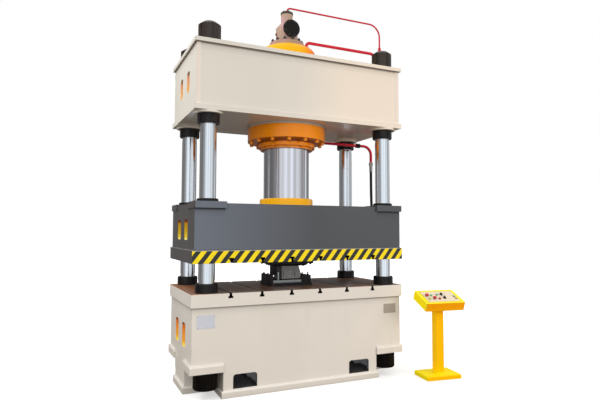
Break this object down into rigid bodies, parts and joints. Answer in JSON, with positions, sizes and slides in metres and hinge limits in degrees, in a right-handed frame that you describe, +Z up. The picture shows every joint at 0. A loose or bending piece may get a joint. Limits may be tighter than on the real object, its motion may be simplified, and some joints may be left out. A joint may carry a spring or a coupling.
{
  "type": "hydraulic press",
  "caption": "Column-guided hydraulic press: welded bed and crown tied by chromed columns, slide driven by a central ram onto a press tool, with a push-button stand.",
  "frame": {"origin": "middle of the foot plate, on the floor", "axes": "+X to the press's right, +Y to its back, +Z up"},
  "size_m": [2.9767, 1.5854, 4.252],
  "materials": {
    "cream_paint": "gloss enamel, slightly dirty",
    "grey_paint": "satin enamel",
    "orange_paint": "gloss enamel",
    "red_paint": "gloss enamel",
    "yellow_paint": "gloss enamel",
    "black_paint": "satin enamel",
    "panel_paint": "satin",
    "machined_steel": "milled and oiled",
    "bright_steel": "ground",
    "zinc_steel": "plated",
    "dark_steel": "black oxide, oiled",
    "chrome": "hard chrome",
    "bronze": "turned bronze",
    "cast_tool": "as cast",
    "seal_rubber": "matt black",
    "red_plastic": "gloss",
    "green_plastic": "gloss",
    "yellow_plastic": "gloss",
    "black_plastic": "gloss"
  },
  "bodies": {
    "press": {"bed_frame": "cream_paint", "bolster_plate": "machined_steel", "column_front_left": "chrome", "column_front_right": "chrome", "column_rear_left": "chrome", "column_rear_right": "chrome", "crown_nuts": "dark_steel", "crown_collars": "dark_steel", "table_collars": "dark_steel", "foot_nuts": "dark_steel", "crown": "cream_paint", "main_cylinder": "orange_paint", "cylinder_bolts": "dark_steel", "gland": "orange_paint", "gland_seals": "seal_rubber", "prefill_valve_body": "red_paint", "valve_bolts": "dark_steel", "valve_port_cover": "black_paint", "valve_top_cover": "black_paint", "pilot_pipe": "red_paint", "pilot_union": "zinc_steel", "pressure_pipe": "red_paint", "pipe_block": "machined_steel", "return_pipe": "red_paint", "return_union": "black_paint", "hose_ferrule": "zinc_steel", "return_hose": "seal_rubber", "hose_outlet": "zinc_steel", "tool_base": "dark_steel", "die_plate": "bright_steel", "tool_stops": "machined_steel", "tool_studs": "dark_steel", "guide_pin": "bright_steel", "stand_pedestal": "yellow_paint", "stand_box": "yellow_paint", "stand_panel": "panel_paint"},
    "slide": {"slide_frame": "grey_paint", "slide_face_plate": "grey_paint", "guide_bushes": "bronze", "wiper_rings": "seal_rubber", "ram": "chrome", "piston_seals": "seal_rubber", "ram_ring": "orange_paint", "ram_ring_bolts": "dark_steel", "tool_top_plate": "dark_steel", "tool_adapter": "dark_steel", "punch_block": "cast_tool", "side_block": "dark_steel"},
    "poppet": {"poppet": "machined_steel", "poppet_spring": "machined_steel"},
    "stop_button_left": {"stop_button_left": "red_plastic"},
    "stop_button_right": {"stop_button_right": "red_plastic"},
    "push_button_upper_left": {"push_button_upper_left": "green_plastic"},
    "push_button_lower_left": {"push_button_lower_left": "yellow_plastic"},
    "push_button_upper_middle": {"push_button_upper_middle": "green_plastic"},
    "push_button_lower_middle": {"push_button_lower_middle": "red_plastic"},
    "selector_upper": {"selector_upper": "black_plastic"},
    "selector_lower": {"selector_lower": "black_plastic"}
  },
  "joints": [
    {"name": "slide_travel", "type": "slide", "parent": "press", "child": "slide", "axis": [0, 0, 1], "range_m": [-0.005, 0.53]},
    {"name": "poppet_lift", "type": "slide", "parent": "press", "child": "poppet", "axis": [0, 0, 1], "range_m": [-0.025, 0], "stiffness_N_per_m": 8000, "springref_m": 0.02, "deforming": ["poppet_spring"]},
    {"name": "stop_button_left_press", "type": "slide", "parent": "press", "child": "stop_button_left", "axis": [0.051, 0.3629, -0.9304], "range_m": [0, 0.006], "stiffness_N_per_m": 1500, "springref_m": -0.002},
    {"name": "stop_button_right_press", "type": "slide", "parent": "press", "child": "stop_button_right", "axis": [0.051, 0.3629, -0.9304], "range_m": [0, 0.006], "stiffness_N_per_m": 1500, "springref_m": -0.002},
    {"name": "push_button_upper_left_press", "type": "slide", "parent": "press", "child": "push_button_upper_left", "axis": [0.051, 0.3629, -0.9304], "range_m": [0, 0.004], "stiffness_N_per_m": 1500, "springref_m": -0.002},
    {"name": "push_button_lower_left_press", "type": "slide", "parent": "press", "child": "push_button_lower_left", "axis": [0.051, 0.3629, -0.9304], "range_m": [0, 0.004], "stiffness_N_per_m": 1500, "springref_m": -0.002},
    {"name": "push_button_upper_middle_press", "type": "slide", "parent": "press", "child": "push_button_upper_middle", "axis": [0.051, 0.3629, -0.9304], "range_m": [0, 0.004], "stiffness_N_per_m": 1500, "springref_m": -0.002},
    {"name": "push_button_lower_middle_press", "type": "slide", "parent": "press", "child": "push_button_lower_middle", "axis": [0.051, 0.3629, -0.9304], "range_m": [0, 0.004], "stiffness_N_per_m": 1500, "springref_m": -0.002},
    {"name": "selector_upper_turn", "type": "hinge", "parent": "press", "child": "selector_upper", "pos_m": [1.54439, -0.81606, 0.90572], "axis": [-0.051, -0.3629, 0.9304], "range_deg": [-45, 45]},
    {"name": "selector_lower_turn", "type": "hinge", "parent": "press", "child": "selector_lower", "pos_m": [1.5358, -0.88438, 0.8786], "axis": [-0.051, -0.3629, 0.9304], "range_deg": [-45, 45]}
  ]
}
